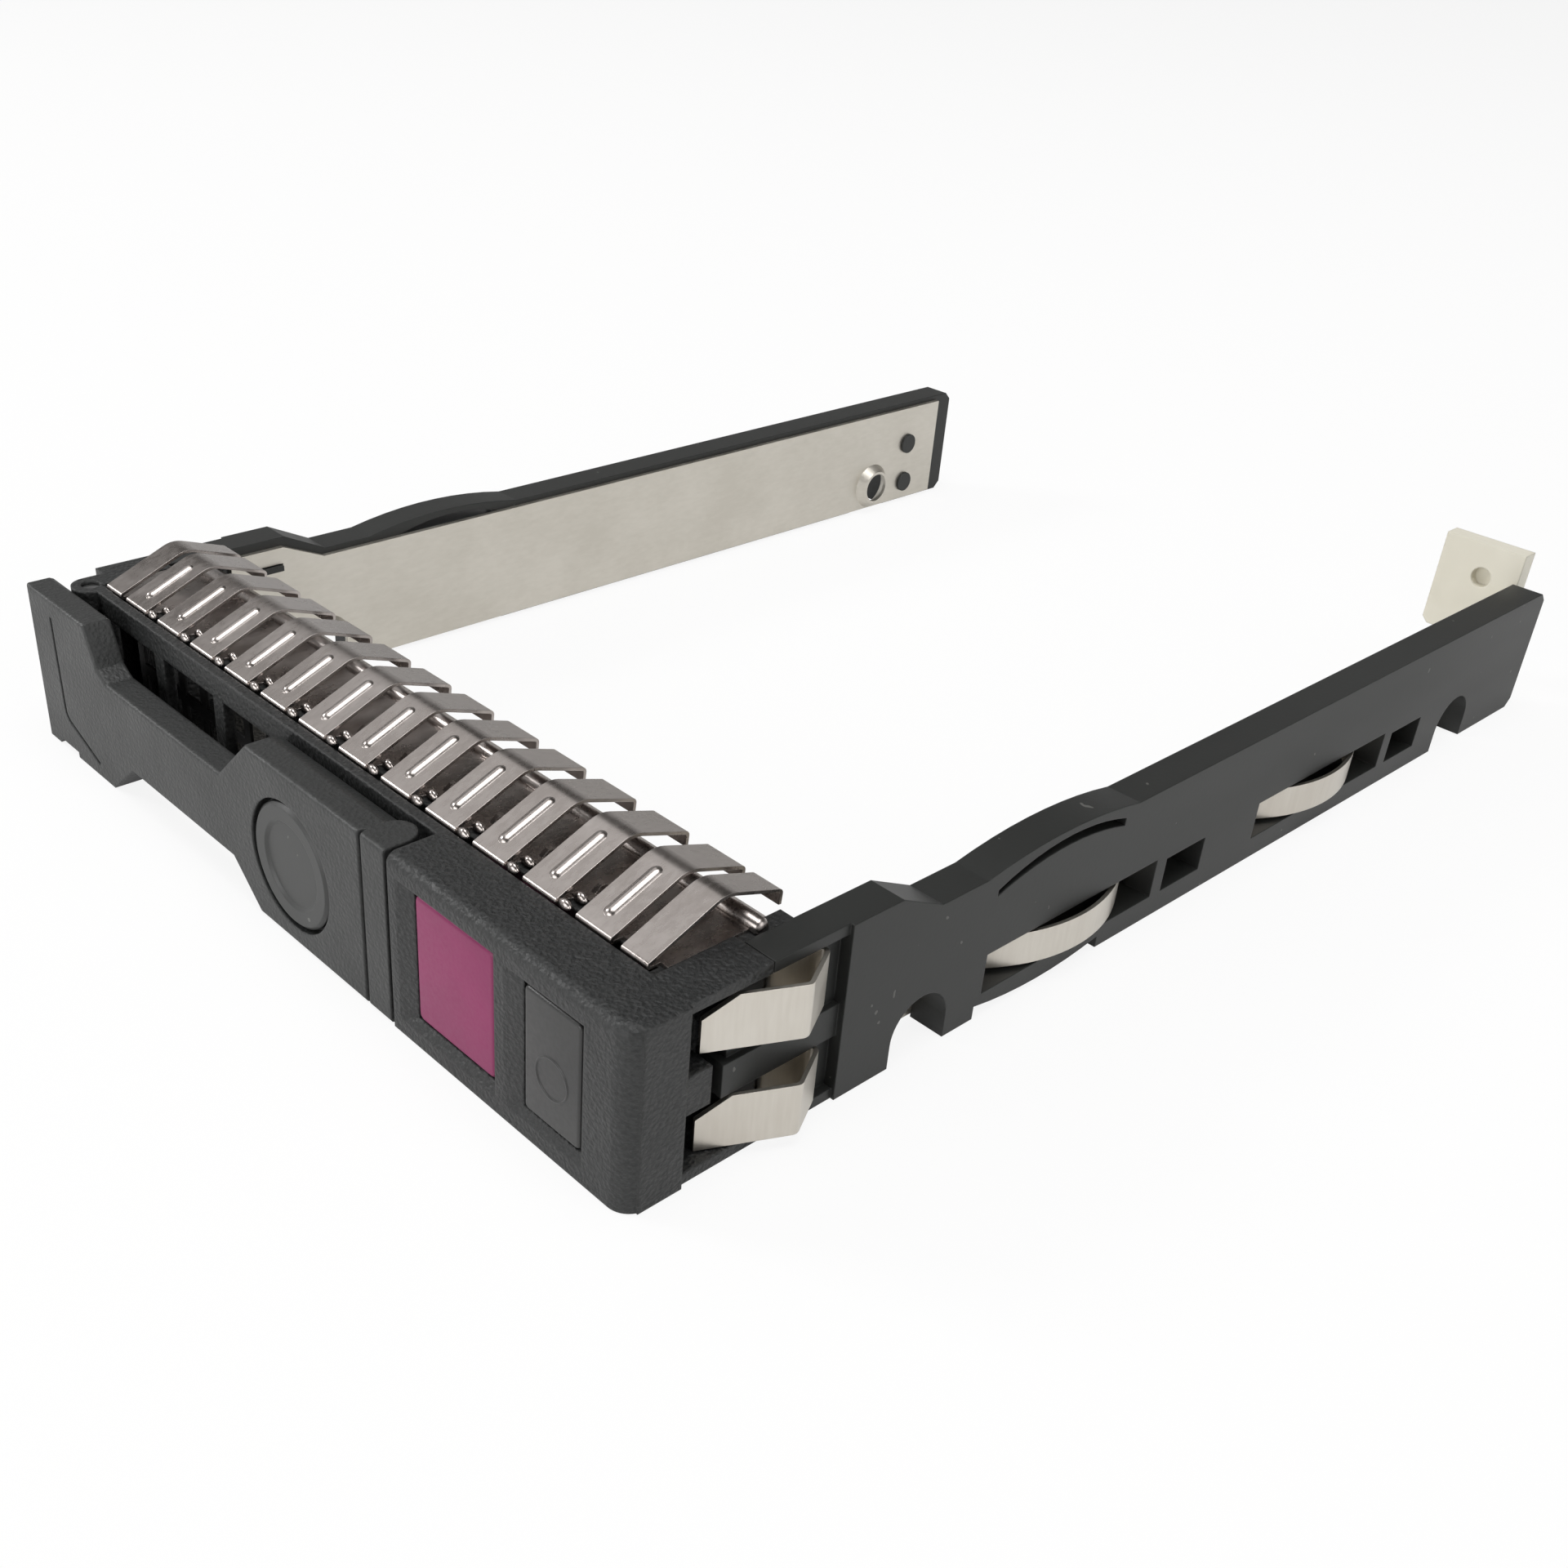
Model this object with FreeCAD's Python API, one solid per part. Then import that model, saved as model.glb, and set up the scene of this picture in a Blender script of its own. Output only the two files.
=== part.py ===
import FreeCAD, Part
import math
import os
from FreeCAD import Vector

# Hot swap tray for a 2.5 inch server drive, in millimetres.
# Working frame of the functions: x to the right of someone facing the bezel, y from the
# front face rearwards, z up from the lowest face. The finished pieces are moved back by half
# of the length, so that the origin is under the centre of the bounding box.

# Drive that the tray carries
drive_width = 69.85
drive_hole_pitch = 76.6
drive_hole_from_rear = 14.0
drive_hole_height = 3.0
drive_side_gap = 1.07

# Overall form
bezel_height = 14.2
front_hole_y = 26.5
rail_end_setback = 0.4
fit_gap = 0.15
slide_gap = 0.3
plug_gap = 0.1

# Sheet and wall thicknesses
plate_thickness = 0.5
rail_thickness = 3.0
spring_sheet = 0.3
shield_sheet = 0.25
deck_thickness = 0.8
bezel_wall = 1.2

# Bezel
block_width = 24.8
block_depth = 4.9
vent_wall_front = 4.0
bezel_depth = 16.2
slot_width = 1.0
corner_radius = 1.7
top_edge_radius = 0.8
edge_radius = 0.35
lever_edge_radius = 0.3
cheek_depth = 4.6
seam_y = 11.5
vent_count = 5
vent_rib = 1.5
vent_margin = 2.0
cheek_wall = 1.5
rib_places = (-14.0, 6.0)
rib_width = 1.4
rib_front_y = 8.6
deck_setback = 0.2
tab_length = 2.5
tab_bottom = 5.3
tab_top = 8.3
left_lip_y = 6.1
lug_front_y = 9.5
lug_rear_y = 12.0
lug_bottom = 5.2
lug_top = 7.6

# Release button and status window
button_from_side = 13.15
button_width = 9.2
button_bottom = 1.95
button_from_top = 1.55
button_recess = 0.45
button_travel = 1.5
button_depth = 7.6
button_wall = 1.4
window_from_side = 4.3
window_width = 6.2
window_bottom = 2.05
window_from_top = 1.8
window_recess = 0.35
bevel_width = 1.6
sill_bevel = 0.7

# Light pipe
window_depth = 1.75
pipe_drop = 3.2
pipe_height = 1.6
pipe_width = 0.8
pipe_neck_width = 1.5
pipe_turn_depth = 1.6
pipe_head_depth = 1.8
pipe_head_bottom = 4.5
collector_thickness = 1.9
collector_width = 8.2
collector_bottom = 4.9
collector_top = 14.6
collector_bevel = 0.6
dot_height = 11.2
dot_from_side = 3.28
dot_radius = 1.0
dot_depth = 1.0

# Ejector lever
lever_gap = 0.4
lever_thickness = 3.5
lever_end_thickness = 2.45
waist_thickness = 2.4
waist_bottom = 3.2
waist_top = 10.0
waist_start = 13.4
waist_length = 18.1
end_strip_width = 4.2
bead_width = 2.9
groove_width = 0.5
groove_depth = 0.8
medallion_from_end = 12.55
medallion_z = 6.6
medallion_radius = 5.25
medallion_depth = 1.0
pivot_inset = 3.3
pivot_y = 4.2
pin_radius = 0.75
pin_clearance = 0.05
knuckle_radius = 1.75
hook_from_end = 2.4
hook_width = 0.8
hook_end_y = 5.8
catch_bottom = 5.8
catch_top = 8.2
latch_width = 0.8
latch_root_y = 13.0
latch_gap = 0.45
spring_seat_thickness = 1.2
coil_radius = 1.7
coil_wire = 0.25
post_radius = 1.1
ear_radius = 1.6
ear_thickness = 1.7
ear_rear_y = 7.9
hinge_wall_y = 7.3
hinge_wall_rear_y = 9.4
hinge_wall_reach = 2.5

# Shield strip
finger_count = 12
finger_width = 3.4
end_finger_width = 2.5
end_finger_gap = 0.95
finger_tip_y = 4.45
crest_y = 11.4
crest_rise = 2.68
crest_radius = 2.4
front_fold_radius = 0.18
lip_y = 16.3
lip_rise = 1.02
lip_drop = 1.0
hem_y = 15.75
hem_drop = 0.95
hem_depth = 1.0
hem_inset = 0.7
base_front_y = 6.1
base_rear_y = 13.3
bead_radius = 0.6
bead_rise = 0.25
bead_foot_inset = 2.3
bead_crest_inset = 1.4
strip_end_margin = 0.7
strip_side_gap = 0.89
lance_width = 0.45
lance_pitch = 0.9
lance_height = 0.4
lance_length = 1.3
lance_from_front = 1.5
screen_top_rib = 1.1
screen_hole_count = 12
screen_rib = 1.0

# Rails
shoulder_y = 18.3
shoulder_end_y = 23.0
shoulder_slope = 4.2
rail_drop = 2.05
notch_radius = 2.9
notch_height = 2.0
window_start_y = 33.3
window_length = 20.7
window_sill = 2.0
window_head = 5.4
hole_gap = 1.4
hole_length = 5.3
window_pitch = 35.2
flex_start_y = 32.5
flex_length = 15.5
flex_rise = 0.85
rail_chamfer = 0.8
rail_plug_y = 8.7
rail_rib_front_y = 8.0
rail_rib_gap = 1.05
flange_thickness = 0.85

# Steel liners
plate_bottom = 0.3
plate_drop = 0.55
plate_setback = 2.6
plate_front_gap = 1.0
hook_y = 20.2
hook_length = 2.1
hook_bottom = 11.3
hook_thickness = 0.5
hook_reach = 0.35
hook_margin = 0.1
stake_from_end = 7.7
stake_heights = (2.4, 7.2)
stake_radius = 0.7
stake_head_radius = 1.15
stake_head_height = 0.3
screw_hole_radius = 1.65
dimple_foot_radius = 1.95
dimple_radius = 2.6
dimple_mouth_radius = 2.35
dimple_throat = 0.45

# Side contact springs
contact_width = 4.1
contact_fold_y = 17.4
contact_root_y = 11.85
contact_crest_out = 1.5
contact_crest_y = 13.1
contact_tip_y = 6.8
upper_contact_drop = 5.35
lower_contact_z = 0.98

half_bay = drive_width / 2 + drive_side_gap
rail_inner = half_bay + plate_thickness
half_width = rail_inner + rail_thickness
rear_hole_y = front_hole_y + drive_hole_pitch
drive_rear = rear_hole_y + drive_hole_from_rear
rail_end = drive_rear - rail_end_setback
overall_length = drive_rear + slide_gap + collector_thickness
deck_top = bezel_height - shield_sheet - 0.05
deck_bottom = deck_top - deck_thickness
pivot_x = pivot_inset - half_width
block_left = half_width - block_width
button_right = half_width - button_from_side
button_left = button_right - button_width
button_top = bezel_height - button_from_top
button_x = (button_left + button_right) / 2
button_z = (button_bottom + button_top) / 2
window_right = half_width - window_from_side
window_left = window_right - window_width
window_top = bezel_height - window_from_top
lever_end = block_left - lever_gap
medallion_x = lever_end - medallion_from_end
waist_left = waist_start - half_width
waist_right = waist_left + waist_length
hook_x = lever_end - hook_from_end
latch_left = hook_x - latch_gap - latch_width
strip_half_width = rail_inner - strip_side_gap
end_finger_outer = strip_half_width - strip_end_margin
end_finger_inner = end_finger_outer - end_finger_width
last_finger_x = end_finger_inner - end_finger_gap - finger_width / 2
finger_pitch = 2 * last_finger_x / (finger_count - 1)
rail_height = bezel_height - rail_drop
shoulder_rise = bezel_height - rail_height
upper_contact_z = bezel_height - upper_contact_drop
rail_rib_top = upper_contact_z - rail_rib_gap
web_outer = rail_inner + 2.0
rib_outer = rail_inner + 2.5
flange_outer = half_width - slide_gap


def box(x0, x1, y0, y1, z0, z1):
    return Part.makeBox(x1 - x0, y1 - y0, z1 - z0, Vector(x0, y0, z0))


def rod(radius, start, end):
    axis = end - start
    return Part.makeCylinder(radius, axis.Length, start, axis)


def prism(points, place, travel):
    """Extrude a flat outline. A point is a pair, or three pairs for an arc to the third."""
    edges = []
    last = points[0]
    for point in points[1:] + points[:1]:
        if len(point) == 3:
            start, middle, end = [place(*pair) for pair in (last, point[1], point[2])]
            edges.append(Part.Arc(start, middle, end).toShape())
            last = point[2]
        else:
            edges.append(Part.makeLine(place(*last), place(*point)))
            last = point
    return Part.Face(Part.Wire(edges)).extrude(travel)


def side_prism(points, x0, x1):
    return prism(points, lambda y, z: Vector(x0, y, z), Vector(x1 - x0, 0, 0))


def front_prism(points, y0, y1):
    return prism(points, lambda x, z: Vector(x, y0, z), Vector(0, y1 - y0, 0))


def plan_prism(points, z0, z1):
    return prism(points, lambda x, y: Vector(x, y, z0), Vector(0, 0, z1 - z0))


def fuse(shapes):
    return shapes[0].multiFuse(shapes[1:]).removeSplitter()


def cut(shape, tools):
    return shape.cut(tools)


def mirrored(shape):
    return shape.mirror(Vector(0, 0, 0), Vector(1, 0, 0))


def folded_strip(path, thickness, radii):
    """Outline of a sheet bent along a path, with concentric arcs at its folds."""
    turns = []
    for index in range(1, len(path) - 1):
        before = (path[index] - path[index - 1]).normalize()
        after = (path[index + 1] - path[index]).normalize()
        turns.append((path[index], before, after, radii[index - 1]))
    first = (path[1] - path[0]).normalize()
    last = (path[-1] - path[-2]).normalize()
    sides = []
    for offset in (thickness / 2, -thickness / 2):
        edges = []
        place = path[0] + left_of(first) * offset
        for corner, before, after, radius in turns:
            side = 1 if before.x * after.y - before.y * after.x > 0 else -1
            reach = radius * math.tan(before.getAngle(after) / 2)
            start = corner - before * reach + left_of(before) * offset
            end = corner + after * reach + left_of(after) * offset
            centre = corner - before * reach + left_of(before) * (side * radius)
            outward = (left_of(before) + left_of(after)).normalize() * -side
            middle = centre + outward * (radius - side * offset)
            edges.append(Part.makeLine(place, start))
            edges.append(Part.Arc(start, middle, end).toShape())
            place = end
        final = path[-1] + left_of(last) * offset
        edges.append(Part.makeLine(place, final))
        sides.append((edges, path[0] + left_of(first) * offset, final))
    (upper, upper_start, upper_end), (lower, lower_start, lower_end) = sides
    ends = [Part.makeLine(upper_end, lower_end), Part.makeLine(lower_start, upper_start)]
    return Part.Face(Part.Wire(Part.__sortEdges__(upper + lower + ends)))


def left_of(direction):
    return Vector(-direction.y, direction.x, 0)


def upright_strip(path, thickness, radii, z0, z1):
    flat = folded_strip([Vector(x, y, 0) for x, y in path], thickness, radii)
    solid = flat.extrude(Vector(0, 0, z1 - z0))
    solid.translate(Vector(0, 0, z0))
    return solid


def coil(radius, wire_radius, pitch, turns, start, axis):
    """Round wire wound on a helix that begins at start and climbs along axis."""
    helix = Part.makeHelix(pitch, pitch * turns, radius)
    ring = Part.makeCircle(wire_radius, Vector(radius, 0, 0), Vector(0, 1, 0))
    solid = Part.Wire(helix).makePipeShell([Part.Wire(ring)], True, True)
    turn = FreeCAD.Rotation(Vector(0, 0, 1), axis)
    solid.Placement = FreeCAD.Placement(start, turn)
    return solid


# Bezel -------------------------------------------------------------------------------------

def bezel_block():
    """Solid front block at the right, with the bays for the button and the window."""
    block = box(block_left, half_width, 0, block_depth, 0, bezel_height)
    block = block.makeFillet(corner_radius, [e for e in block.Edges if is_upright(e, half_width, 0)])
    block = block.makeFillet(top_edge_radius, [e for e in block.Edges if is_outer_top(e)])
    inner_depth = block_depth + slot_width - plug_gap
    walls = [(block_left, button_left), (button_right, window_left), (window_right, rail_inner)]
    for left, right in walls:
        block = block.fuse(box(left, right, block_depth, inner_depth, 0, button_top))
    block = block.fuse(box(block_left, rail_inner, block_depth, inner_depth, 0, button_bottom))
    button_bay = box(button_left, button_right, -1, inner_depth + 1, button_bottom, button_top)
    window_bay = box(window_left, window_right, -1, inner_depth + 1, window_bottom, window_top)
    button_flare = flare(button_left, button_right, button_bottom, button_top, button_recess)
    window_flare = flare(window_left, window_right, window_bottom, window_top, window_recess)
    return cut(block, [button_bay, window_bay, button_flare, window_flare]).removeSplitter()


def is_outer_top(edge):
    """True for the block's top edge along the front, round the corner and along the side."""
    points = [vertex.Point for vertex in edge.Vertexes] + [edge.CenterOfMass]
    if any(abs(p.z - bezel_height) > 1e-6 for p in points):
        return False
    middle = points[-1]
    on_front = abs(middle.y) < 1e-6
    on_side = abs(middle.x - half_width) < 1e-6
    on_corner = middle.x > half_width - corner_radius and middle.y < corner_radius
    return on_front or on_side or on_corner


def flare(x0, x1, z0, z1, recess):
    """Shallow funnel that widens a bay to the left and downwards as it nears the front."""
    mouth = rectangle(x0 - bevel_width, x1, z0 - sill_bevel, z1)
    outer = Part.makePolygon([Vector(x, 0, z) for x, z in mouth])
    inner = Part.makePolygon([Vector(x, recess, z) for x, z in rectangle(x0, x1, z0, z1)])
    return Part.makeLoft([outer, inner], True, True)


def rectangle(x0, x1, z0, z1):
    return [(x0, z0), (x1, z0), (x1, z1), (x0, z1), (x0, z0)]


def is_upright(edge, x, y):
    points = [vertex.Point for vertex in edge.Vertexes]
    return all(abs(p.x - x) < 1e-6 and abs(p.y - y) < 1e-6 for p in points)


def vent_wall():
    """Thin wall behind the lever, with a row of air openings."""
    left = pivot_x + ear_radius
    wall = box(left, block_left + 0.5, vent_wall_front, block_depth, 0, bezel_height)
    span = block_left - left - vent_rib
    opening = span / vent_count - vent_rib
    tools = []
    for index in range(vent_count):
        x0 = left + vent_rib + index * (opening + vent_rib)
        tools.append(box(x0, x0 + opening, 3, 6, vent_margin, bezel_height - vent_margin))
    return cut(wall, tools)


def bezel_decks():
    """Upper deck under the shield strip, lower deck, and the cheeks that join them."""
    deck_front = block_depth + slot_width
    cheek_inner = rail_inner - cheek_wall
    deck_rear = base_rear_y - deck_setback
    spring_seat_rear = latch_root_y + spring_seat_thickness
    parts = [
        box(-rail_inner, rail_inner, deck_front, deck_rear, deck_bottom, deck_top),
        box(pivot_x + ear_radius, rail_inner, vent_wall_front, bezel_depth, 0, bezel_wall),
        box(-rail_inner, rail_inner, deck_front + 2, bezel_depth, 0, bezel_wall),
        box(cheek_inner, rail_inner, block_depth, bezel_depth, 0, deck_top),
        box(-rail_inner, -cheek_inner, hinge_wall_y + 0.1, bezel_depth, 0, deck_top),
        box(latch_left, button_right + 0.5, latch_root_y, spring_seat_rear, 0, deck_bottom),
        latch_finger(),
    ]
    for x in rib_places:
        parts.append(box(x, x + rib_width, block_depth - 0.4, deck_front + 0.4, deck_bottom, deck_top))
        parts.append(box(x, x + rib_width, rib_front_y, deck_rear, 0, deck_top))
        parts.append(box(x, x + rib_width, rib_front_y, bezel_depth, 0, rail_height - hem_drop))
    return parts


def latch_finger():
    """Springy finger whose nose holds the lever's hook, with a ramp for the button's arm."""
    left = latch_left
    right = left + latch_width
    nose_y = block_depth + 0.2
    ramp_start = button_depth + 2 * slide_gap
    ramp_end = button_depth + button_travel + 0.5
    points = [
        (left, latch_root_y + 0.1),
        (left, nose_y),
        (right - 0.4, nose_y),
        (right, nose_y + 0.7),
        (right, ramp_start),
        (right + 0.15, ramp_end),
        (right, ramp_end + 0.4),
        (right, latch_root_y + 0.1),
    ]
    return plan_prism(points, catch_bottom, catch_top)


def side_flanges(front_y):
    """Lips on the right side that the rail's front end plugs in between."""
    top = bezel_height - flange_thickness
    return [
        box(rail_inner - 0.8, flange_outer, front_y, seam_y, top, bezel_height),
        box(rail_inner - 0.8, flange_outer, front_y, seam_y, 0, flange_thickness),
    ]


def hinge_ears():
    """Ears above and below the lever's knuckle, joined to the decks behind it."""
    ears = []
    for z0 in (0, bezel_height - ear_thickness):
        z1 = z0 + ear_thickness
        ears.append(Part.makeCylinder(ear_radius, ear_thickness, Vector(pivot_x, pivot_y, z0)))
        ears.append(box(pivot_x - ear_radius, pivot_x + ear_radius + 1, pivot_y, ear_rear_y, z0, z1))
    wall_end = pivot_x + ear_radius + hinge_wall_reach
    ears.append(box(-rail_inner, wall_end, hinge_wall_y, hinge_wall_rear_y, 0, deck_top))
    return ears


def bezel_frame():
    tab = box(rail_inner - 0.1, rib_outer, cheek_depth - 0.1, cheek_depth + tab_length, tab_bottom, tab_top)
    cheek = box(rail_inner - 1.0, half_width, 1.0, cheek_depth, 0, bezel_height)
    edge = box(half_width - 1.4, half_width + 1, cheek_depth, block_depth + 1, -1, bezel_height + 1)
    block = bezel_block().cut(edge)
    left_flanges = [mirrored(piece) for piece in side_flanges(left_lip_y)]
    body = fuse([block, vent_wall(), cheek, tab] + bezel_decks() + side_flanges(cheek_depth - 0.1)
                + left_flanges + hinge_ears())
    pin_hole = rod(pin_radius + pin_clearance, Vector(pivot_x, pivot_y, -1),
                   Vector(pivot_x, pivot_y, bezel_height + 1))
    knuckle_room = Part.makeCylinder(knuckle_radius + 1.2, bezel_height - 2 * ear_thickness,
                                     Vector(pivot_x, pivot_y, ear_thickness))
    lugs = [snap_lug(fit_gap), mirrored(snap_lug(fit_gap))]
    strip_end = strip_half_width + 0.05
    shield_seat = box(-strip_end, strip_end, block_depth + 0.05, bezel_depth + 1, deck_top, bezel_height + 1)
    return cut(body, [pin_hole, knuckle_room, pipe_channel(), shield_seat] + lugs).removeSplitter()


def pipe_channel():
    """Groove in the right cheek that the light pipe's bar runs through."""
    bottom = rail_height - pipe_drop - fit_gap
    top = bottom + pipe_height + 2 * fit_gap
    return box(half_bay - 3.0, half_bay + fit_gap, block_depth - 0.1, bezel_depth + 1, bottom, top)


def snap_lug(clearance):
    """Lug on the rail's inner face that locks in a hole of the bezel's cheek."""
    return box(rail_inner - cheek_wall - clearance, rail_inner + clearance, lug_front_y - clearance,
               lug_rear_y + clearance, lug_bottom - clearance, lug_top + clearance)


def status_window():
    """Smoked window in the right bay."""
    lens = box(window_left + fit_gap, window_right - fit_gap, window_recess, window_recess + window_depth,
               window_bottom + fit_gap, window_top - fit_gap)
    front = [e for e in lens.Edges if lies_at_y(e, window_recess)]
    return lens.makeFillet(edge_radius, front)


def lies_at_y(edge, y):
    return all(abs(vertex.Point.y - y) < 1e-6 for vertex in edge.Vertexes)


def light_pipe():
    """Clear bar that carries light from the rear of the tray to the window."""
    head_front = window_recess + window_depth + fit_gap
    bottom = rail_height - pipe_drop
    top = bottom + pipe_height
    bar_inner = half_bay - pipe_width
    head_right = window_right - fit_gap
    neck_left = head_right - pipe_neck_width
    turn_front = block_depth + slot_width
    turn_rear = turn_front + pipe_turn_depth
    rear = drive_rear + slide_gap
    head = box(window_left + 1.0, head_right, head_front, head_front + pipe_head_depth, pipe_head_bottom, top)
    neck = box(neck_left, head_right, head_front, turn_rear, bottom, top)
    turn = box(neck_left, half_bay, turn_front, turn_rear, bottom, top)
    bar = box(bar_inner, half_bay, turn_front, rear + 0.5, bottom, top)
    left = half_bay - collector_width + 0.4
    outline = [
        (left, collector_bottom + collector_bevel),
        (left + collector_bevel, collector_bottom),
        (left + collector_width, collector_bottom),
        (left + collector_width, collector_top),
        (left, collector_top),
    ]
    collector = front_prism(outline, rear, rear + collector_thickness)
    dot_x = half_bay - dot_from_side
    dot = rod(dot_radius, Vector(dot_x, rear - 1, dot_height), Vector(dot_x, rear + dot_depth, dot_height))
    return fuse([head, neck, turn, bar, collector]).cut(dot)


# Release button ----------------------------------------------------------------------------

def release_button():
    """Hollow button with a spring post, a stop arm to the right and a release arm to the left."""
    rear = button_depth
    face = box(button_left + fit_gap, button_right - fit_gap, button_recess, rear,
               button_bottom + fit_gap, button_top - fit_gap)
    rim = [e for e in face.Edges if lies_at_y(e, button_recess)]
    face = face.makeFillet(2 * edge_radius, rim)
    floor_y = button_recess + button_wall
    hollow = box(button_left + button_wall, button_right - button_wall, floor_y, rear + 1,
                 button_bottom + button_wall, button_top - button_wall)
    post = rod(post_radius, Vector(button_x, floor_y - 0.1, button_z), Vector(button_x, rear, button_z))
    arm_front = block_depth + slot_width + 0.2
    arm = box(button_left + fit_gap, button_right + button_wall * 4, arm_front, rear,
              button_top - button_wall - 0.6, button_top - fit_gap)
    release = plan_prism([(button_left + 1, arm_front), (button_left + 1, rear), (hook_x, rear),
                          (hook_x - 0.15, rear - 0.5), (hook_x - 0.15, arm_front)], catch_bottom, catch_top)
    return fuse([face.cut(hollow), post, arm, release])


def button_spring():
    start = Vector(button_x, button_recess + button_wall + coil_wire + 0.1, button_z)
    length = latch_root_y - start.y - coil_wire - 0.1
    return coil(coil_radius, coil_wire, length / 7, 7, start, Vector(0, 1, 0))


# Ejector lever -----------------------------------------------------------------------------

def lever_outline():
    left = -half_width
    notch_left = pivot_x - 1.1
    notch_right = pivot_x + 2.4
    return [
        (left, 0),
        (notch_left, 0),
        (notch_left + 0.6, 0.5),
        (notch_right, 0.5),
        (notch_right, 0),
        (waist_left - 1.0, 0),
        (waist_left + 2.8, waist_bottom),
        (waist_right + 1.1, waist_bottom),
        (waist_right + 4.7, 0),
        (lever_end, 0),
        (lever_end, bezel_height),
        (waist_right + 4.4, bezel_height),
        (waist_right, waist_top),
        (waist_left, waist_top),
        (waist_left - 1.4, waist_top + 0.8),
        (waist_left - 2.9, bezel_height),
        (left, bezel_height),
    ]


def lever_blank():
    """Front plate of the lever, thin at the hinge end and at the waist, thick at the grip."""
    body = front_prism(lever_outline(), 0, lever_thickness)
    rim = [e for e in body.Edges if lies_at_y(e, 0) and is_long_rim(e)]
    body = body.makeFillet(lever_edge_radius, rim)
    back = lever_thickness + 1
    above = bezel_height + 1
    thin_end = box(-half_width - 1, pivot_x + 4.0, lever_end_thickness, back, -1, above)
    thin_waist = box(pivot_x + 3.9, waist_right + 3.0, waist_thickness, back, -1, above)
    bevel_points = [
        (lever_thickness - 1.4, bezel_height),
        (lever_thickness + 0.1, bezel_height - 0.7),
        (lever_thickness + 0.1, bezel_height + 0.1),
        (lever_thickness - 1.4, bezel_height + 0.1),
    ]
    top_bevel = side_prism(bevel_points, -half_width - 1, lever_end - bead_width)
    return cut(body, [thin_end, thin_waist, top_bevel])


def is_long_rim(edge):
    """Front edges that are rounded: all but the short ones at the foot."""
    middle = edge.CenterOfMass
    at_foot = middle.z < 1.7 and middle.x < waist_left + 3
    at_free_end = abs(middle.x - lever_end) < 1e-6
    return not at_foot and not at_free_end


def round_bead():
    """What to take off the lever's free end so that its back is half round in plan."""
    left = lever_end - bead_width
    middle = (left + lever_end) / 2
    radius = bead_width / 2
    y = lever_thickness - radius
    points = [
        (left, y),
        ((left, y), (middle, lever_thickness), (lever_end, y)),
        (lever_end + 0.1, y),
        (lever_end + 0.1, lever_thickness + 0.1),
        (left, lever_thickness + 0.1),
    ]
    return plan_prism(points, -1, bezel_height + 1)


def lever_grooves():
    """Grooves beside the bead and round the inset face at the hinge end."""
    bead_left = lever_end - bead_width
    depth = groove_depth
    beside_bead = plan_prism([(bead_left - groove_width / 2, -0.1), (bead_left + groove_width / 2, -0.1),
                              (bead_left, depth)], -1, bezel_height + 1)
    strip_x = end_strip_width - half_width
    path = [(strip_x, bezel_height - 1.6), (strip_x + 0.2, 3.4), (strip_x + 5.8, 1.2)]
    line = upright_strip(path, 0.35, [1.2], 0, 1)
    line.rotate(Vector(0, 0, 0), Vector(1, 0, 0), 90)
    line.translate(Vector(0, depth / 2, 0))
    return [beside_bead, line]


def ejector_lever():
    blank = lever_blank().cut([round_bead()] + lever_grooves())
    seat = rod(medallion_radius, Vector(medallion_x, -1, medallion_z),
               Vector(medallion_x, medallion_depth, medallion_z))
    gap = slide_gap
    bottom = ear_thickness + gap
    top = bezel_height - ear_thickness - gap
    knuckle = Part.makeCylinder(knuckle_radius, top - bottom, Vector(pivot_x, pivot_y, bottom))
    web = box(pivot_x - knuckle_radius, pivot_x + knuckle_radius, lever_end_thickness - 0.2, pivot_y,
              bottom, top)
    hook = plan_prism([(hook_x, lever_thickness - 1), (hook_x + hook_width, lever_thickness - 1),
                       (hook_x + hook_width, hook_end_y), (hook_x, hook_end_y),
                       (hook_x - 0.3, hook_end_y - 0.4), (hook_x, hook_end_y - 0.4)], catch_bottom, catch_top)
    middle = bezel_height / 2
    coil_room = Part.makeCylinder(knuckle_radius + 0.2, 3.4, Vector(pivot_x, pivot_y, middle - 1.7))
    pin_hole = rod(pin_radius + pin_clearance, Vector(pivot_x, pivot_y, -1),
                   Vector(pivot_x, pivot_y, bezel_height + 1))
    blank = blank.cut(seat)
    return cut(fuse([blank, knuckle, web, hook]), [coil_room, pin_hole]).removeSplitter()


def lever_medallion():
    """Plain round insert with a raised rim and a slightly sunk middle."""
    radius = medallion_radius - fit_gap * 2
    back = medallion_depth
    profile = [
        Vector(0, 0.25, 0),
        Vector(radius * 0.66, 0.25, 0),
        Vector(radius * 0.72, 0.05, 0),
        Vector(radius - 0.3, 0.0, 0),
        Vector(radius, 0.25, 0),
        Vector(radius, back, 0),
        Vector(0, back, 0),
    ]
    face = Part.Face(Part.makePolygon(profile + profile[:1]))
    disc = face.revolve(Vector(0, 0, 0), Vector(0, 1, 0), 360)
    disc.translate(Vector(medallion_x, 0, medallion_z))
    return disc


def pivot_pin():
    return rod(pin_radius, Vector(pivot_x, pivot_y, 0.3), Vector(pivot_x, pivot_y, bezel_height - 0.3))


def lever_spring():
    """Torsion spring round the pin, with a leg on the lever and a leg on the bezel."""
    middle = bezel_height / 2
    pitch = 0.62
    turns = 4
    start = Vector(pivot_x, pivot_y, middle - pitch * turns / 2)
    return coil(1.15, 0.22, pitch, turns, start, Vector(0, 0, 1))


# Shield strip ------------------------------------------------------------------------------

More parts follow.
